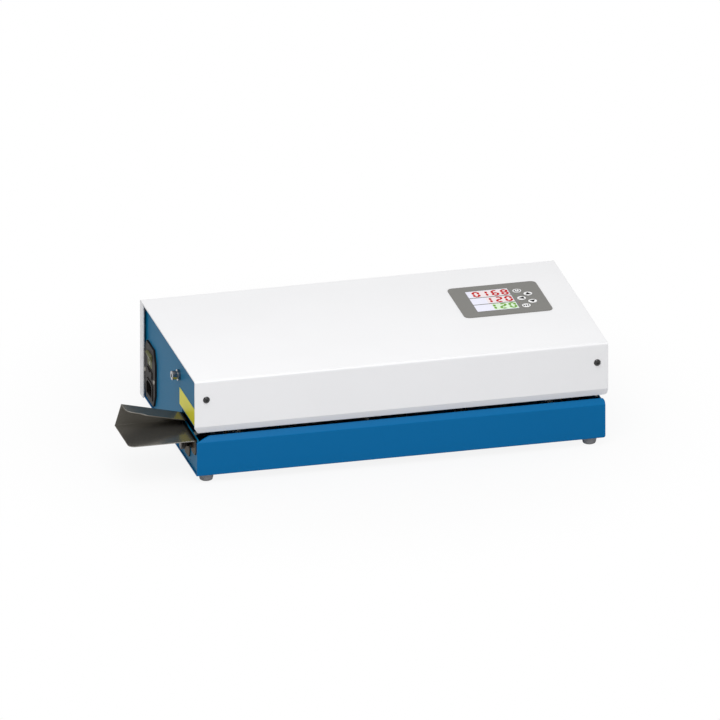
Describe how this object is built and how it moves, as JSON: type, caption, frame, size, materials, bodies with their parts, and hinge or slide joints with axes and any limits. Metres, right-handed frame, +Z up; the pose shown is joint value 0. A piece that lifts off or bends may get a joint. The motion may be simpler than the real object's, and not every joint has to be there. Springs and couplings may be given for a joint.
{
  "type": "continuous heat sealer",
  "caption": "Tabletop continuous heat sealer for pouches: folded housing with a front sealing slot, side infeed guide, belt drive and key panel.",
  "frame": {"origin": "on the supporting surface, under the middle of the whole outline", "axes": "+X in the feed direction, from the infeed guide to the outlet; +Y from the slot side towards the back; +Z up"},
  "size_m": [0.5842, 0.2704, 0.1322],
  "materials": {
    "blue_enamel": "powder-coated, satin",
    "white_enamel": "powder-coated, satin",
    "foot_rubber": "moulded, matt",
    "zinc_screw": "zinc-plated",
    "black_screw": "blackened",
    "panel_film": "matt printed film",
    "display_lens": "clear lit window",
    "circuit_board": "solder-masked laminate",
    "board_component": "moulded",
    "key_white": "moulded",
    "label_film": "satin film",
    "black_plastic": "moulded",
    "rocker_plastic": "moulded, tinted",
    "contact_metal": "nickel-plated",
    "chrome_socket": "polished",
    "dark_stainless": "ground stainless",
    "guide_sheet": "plain sheet",
    "aluminium": "milled",
    "bronze_bush": "sintered",
    "shaft_steel": "ground",
    "belt_cloth": "coated glass cloth",
    "gear_steel": "machined",
    "knurled_steel": "knurled",
    "motor_can": "zinc and enamel",
    "heater_brass": "milled",
    "spring_wire": "drawn wire",
    "transformer": "varnished"
  },
  "bodies": {
    "chassis": {"base_tray": "blue_enamel", "left_side_plate": "blue_enamel", "right_side_plate": "blue_enamel", "cover": "white_enamel", "rubber_feet": "foot_rubber", "foot_screws": "zinc_screw", "cover_screws": "black_screw", "panel_overlay": "panel_film", "display_window": "display_lens", "display_board": "circuit_board", "board_studs": "zinc_screw", "side_label": "label_film", "inlet_housing": "black_plastic", "inlet_pins": "contact_metal", "inlet_screws": "zinc_screw", "service_socket": "chrome_socket", "socket_nut": "chrome_socket", "lower_guide_plate": "guide_sheet", "upper_guide_plate": "guide_sheet", "carrier_plate": "aluminium", "carrier_feet": "aluminium", "shaft_bushes": "bronze_bush", "lower_belt": "belt_cloth", "upper_belt": "belt_cloth", "gear_motor": "motor_can", "motor_plate": "aluminium", "lower_heater_bar": "heater_brass", "upper_heater_bar": "heater_brass", "heater_holders": "aluminium", "heater_springs": "spring_wire", "heater_pins": "zinc_screw", "main_board": "circuit_board", "board_parts": "board_component", "power_supply": "transformer", "board_spacers": "zinc_screw"},
    "lower_drive": {"lower_drive_shaft": "shaft_steel", "lower_drive_pulley": "aluminium", "lower_drive_gear": "gear_steel"},
    "upper_drive": {"upper_drive_shaft": "shaft_steel", "upper_drive_pulley": "aluminium", "upper_drive_gear": "gear_steel"},
    "lower_idler": {"lower_idler_shaft": "shaft_steel", "lower_idler_pulley": "aluminium"},
    "upper_idler": {"upper_idler_shaft": "shaft_steel", "upper_idler_pulley": "aluminium"},
    "lower_press": {"lower_press_roller": "knurled_steel"},
    "upper_press": {"upper_press_roller": "knurled_steel"},
    "motor_output": {"motor_shaft": "shaft_steel", "motor_pinion": "gear_steel"},
    "rocker": {"inlet_rocker": "rocker_plastic"},
    "drawer": {"fuse_drawer": "black_plastic"},
    "menu_key": {"key_menu": "key_white"},
    "up_key": {"key_up": "key_white"},
    "down_key": {"key_down": "key_white"},
    "back_key": {"key_back": "key_white"},
    "run_key": {"key_run": "key_white"},
    "guide": {"infeed_guide": "dark_stainless"},
    "thumbscrew": {"guide_thumbscrew": "knurled_steel"}
  },
  "joints": [
    {"name": "lower_drive_spin", "type": "hinge", "parent": "chassis", "child": "lower_drive", "pos_m": [0.2301, -0.092, 0.046], "axis": [0, 1, 0], "continuous": true},
    {"name": "upper_drive_spin", "type": "hinge", "parent": "chassis", "child": "upper_drive", "pos_m": [0.2301, -0.092, 0.076], "axis": [0, 1, 0], "continuous": true},
    {"name": "lower_idler_spin", "type": "hinge", "parent": "chassis", "child": "lower_idler", "pos_m": [-0.1509, -0.092, 0.046], "axis": [0, 1, 0], "continuous": true},
    {"name": "upper_idler_spin", "type": "hinge", "parent": "chassis", "child": "upper_idler", "pos_m": [-0.1509, -0.092, 0.076], "axis": [0, 1, 0], "continuous": true},
    {"name": "lower_press_spin", "type": "hinge", "parent": "chassis", "child": "lower_press", "pos_m": [0.1201, -0.092, 0.05035], "axis": [0, 1, 0], "continuous": true},
    {"name": "upper_press_spin", "type": "hinge", "parent": "chassis", "child": "upper_press", "pos_m": [0.1201, -0.092, 0.07165], "axis": [0, 1, 0], "continuous": true},
    {"name": "motor_spin", "type": "hinge", "parent": "chassis", "child": "motor_output", "pos_m": [0.2076, -0.039, 0.046], "axis": [0, 1, 0], "continuous": true},
    {"name": "power_rocker", "type": "hinge", "parent": "chassis", "child": "rocker", "pos_m": [-0.2081, 0.093, 0.0695], "axis": [0, 1, 0], "range_deg": [0, 20]},
    {"name": "fuse_drawer_pull", "type": "slide", "parent": "chassis", "child": "drawer", "axis": [-1, 0, 0], "range_m": [0, 0.016]},
    {"name": "menu_press", "type": "slide", "parent": "chassis", "child": "menu_key", "axis": [0, 0, 1], "range_m": [-0.0005, 0], "stiffness_N_per_m": 800, "springref_m": 0.001},
    {"name": "up_press", "type": "slide", "parent": "chassis", "child": "up_key", "axis": [0, 0, 1], "range_m": [-0.0005, 0], "stiffness_N_per_m": 800, "springref_m": 0.001},
    {"name": "down_press", "type": "slide", "parent": "chassis", "child": "down_key", "axis": [0, 0, 1], "range_m": [-0.0005, 0], "stiffness_N_per_m": 800, "springref_m": 0.001},
    {"name": "back_press", "type": "slide", "parent": "chassis", "child": "back_key", "axis": [0, 0, 1], "range_m": [-0.0005, 0], "stiffness_N_per_m": 800, "springref_m": 0.001},
    {"name": "run_press", "type": "slide", "parent": "chassis", "child": "run_key", "axis": [0, 0, 1], "range_m": [-0.0005, 0], "stiffness_N_per_m": 800, "springref_m": 0.001},
    {"name": "guide_adjust", "type": "slide", "parent": "chassis", "child": "guide", "axis": [0, 1, 0], "range_m": [-0.003, 0.003]},
    {"name": "thumbscrew_turn", "type": "hinge", "parent": "chassis", "child": "thumbscrew", "pos_m": [-0.2151, -0.082, 0.032], "axis": [1, 0, 0], "continuous": true}
  ],
  "couplings": [
    {"joint": "upper_drive_spin", "follows": "lower_drive_spin", "ratio": -1},
    {"joint": "lower_idler_spin", "follows": "lower_drive_spin", "ratio": 1},
    {"joint": "upper_idler_spin", "follows": "lower_drive_spin", "ratio": -1},
    {"joint": "lower_press_spin", "follows": "lower_drive_spin", "ratio": 1.5},
    {"joint": "upper_press_spin", "follows": "lower_drive_spin", "ratio": -1.5},
    {"joint": "motor_spin", "follows": "lower_drive_spin", "ratio": -2}
  ]
}
